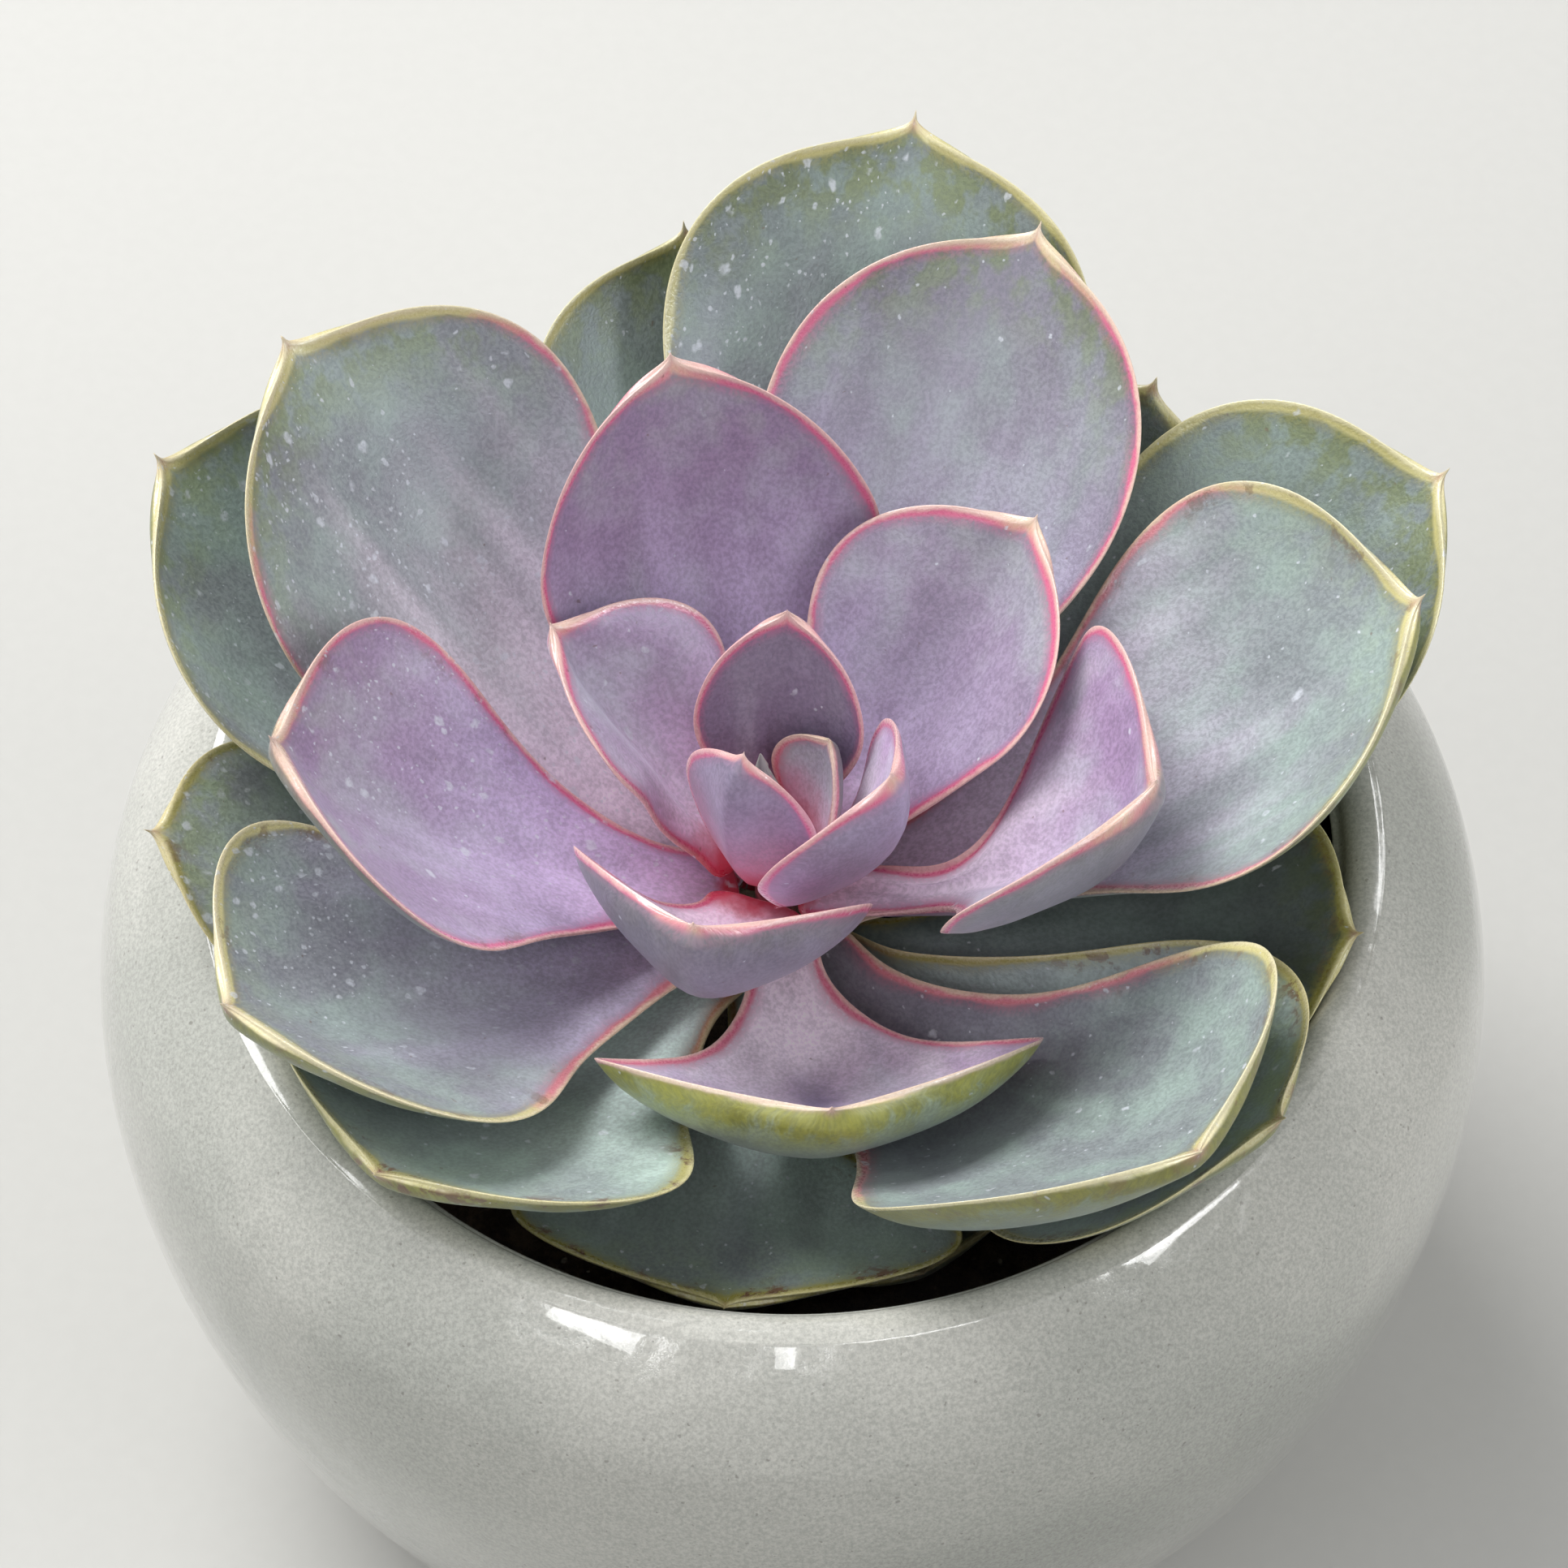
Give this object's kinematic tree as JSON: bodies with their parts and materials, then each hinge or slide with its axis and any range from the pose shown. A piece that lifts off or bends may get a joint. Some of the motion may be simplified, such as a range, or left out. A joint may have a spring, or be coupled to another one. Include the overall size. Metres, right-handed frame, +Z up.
{
  "type": "potted echeveria",
  "caption": "Rosette succulent with cupped, pointed fleshy leaves around a closed bud, on a short stem in soil, in a round glazed pot with a rolled lip.",
  "frame": {"origin": "centre of the pot's flat foot, on the surface it stands on", "axes": "+Z up along the pot's axis; -Y towards the side the plant is seen from; +X to that viewer's right"},
  "size_m": [0.162, 0.162, 0.131],
  "materials": {
    "pot_glaze": "glossy pale grey stoneware glaze with fine speckle",
    "soil_earth": "dark crumbly potting soil",
    "stem_bark": "dry pale brown stem",
    "bud_skin": "waxy pale bud",
    "leaf_01_skin": "matte waxy leaf skin, mauve with a pink margin",
    "leaf_02_skin": "matte waxy leaf skin, mauve with a pink margin",
    "leaf_03_skin": "matte waxy leaf skin, mauve with a pink margin",
    "leaf_04_skin": "matte waxy leaf skin, mauve with a pink margin",
    "leaf_05_skin": "matte waxy leaf skin, mauve with a pink margin",
    "leaf_06_skin": "matte waxy leaf skin, mauve with a pink margin",
    "leaf_07_skin": "matte waxy leaf skin, mauve with a pink margin",
    "leaf_08_skin": "matte waxy leaf skin, mauve with a pink margin",
    "leaf_09_skin": "matte waxy leaf skin, mauve with a pink margin",
    "leaf_10_skin": "matte waxy leaf skin, mauve with a pink margin",
    "leaf_11_skin": "matte waxy leaf skin, mauve with a pink margin",
    "leaf_12_skin": "matte waxy leaf skin, grey green with a pale yellow margin",
    "leaf_13_skin": "matte waxy leaf skin, grey green with a pale yellow margin",
    "leaf_14_skin": "matte waxy leaf skin, grey green with a pale yellow margin",
    "leaf_15_skin": "matte waxy leaf skin, grey green with a pale yellow margin",
    "leaf_16_skin": "matte waxy leaf skin, grey green with a pale yellow margin",
    "leaf_17_skin": "matte waxy leaf skin, grey green with a pale yellow margin",
    "leaf_18_skin": "matte waxy leaf skin, grey green with a pale yellow margin",
    "leaf_19_skin": "matte waxy leaf skin, grey green with a pale yellow margin",
    "leaf_20_skin": "matte waxy leaf skin, grey green with a pale yellow margin",
    "leaf_21_skin": "matte waxy leaf skin, grey green with a pale yellow margin",
    "leaf_22_skin": "matte waxy leaf skin, grey green with a pale yellow margin",
    "leaf_23_skin": "matte waxy leaf skin, grey green with a pale yellow margin",
    "leaf_24_skin": "matte waxy leaf skin, grey green with a pale yellow margin",
    "leaf_25_skin": "matte waxy leaf skin, grey green with a pale yellow margin",
    "leaf_26_skin": "matte waxy leaf skin, grey green with a pale yellow margin",
    "leaf_27_skin": "matte waxy leaf skin, grey green with a pale yellow margin"
  },
  "bodies": {
    "root": {"pot": "pot_glaze", "soil": "soil_earth", "stem": "stem_bark", "bud": "bud_skin", "leaf_01": "leaf_01_skin", "leaf_02": "leaf_02_skin", "leaf_03": "leaf_03_skin", "leaf_04": "leaf_04_skin", "leaf_05": "leaf_05_skin", "leaf_06": "leaf_06_skin", "leaf_07": "leaf_07_skin", "leaf_08": "leaf_08_skin", "leaf_09": "leaf_09_skin", "leaf_10": "leaf_10_skin", "leaf_11": "leaf_11_skin", "leaf_12": "leaf_12_skin", "leaf_13": "leaf_13_skin", "leaf_14": "leaf_14_skin", "leaf_15": "leaf_15_skin", "leaf_16": "leaf_16_skin", "leaf_17": "leaf_17_skin", "leaf_18": "leaf_18_skin", "leaf_19": "leaf_19_skin", "leaf_20": "leaf_20_skin", "leaf_21": "leaf_21_skin", "leaf_22": "leaf_22_skin", "leaf_23": "leaf_23_skin", "leaf_24": "leaf_24_skin", "leaf_25": "leaf_25_skin", "leaf_26": "leaf_26_skin", "leaf_27": "leaf_27_skin"}
  },
  "joints": []
}
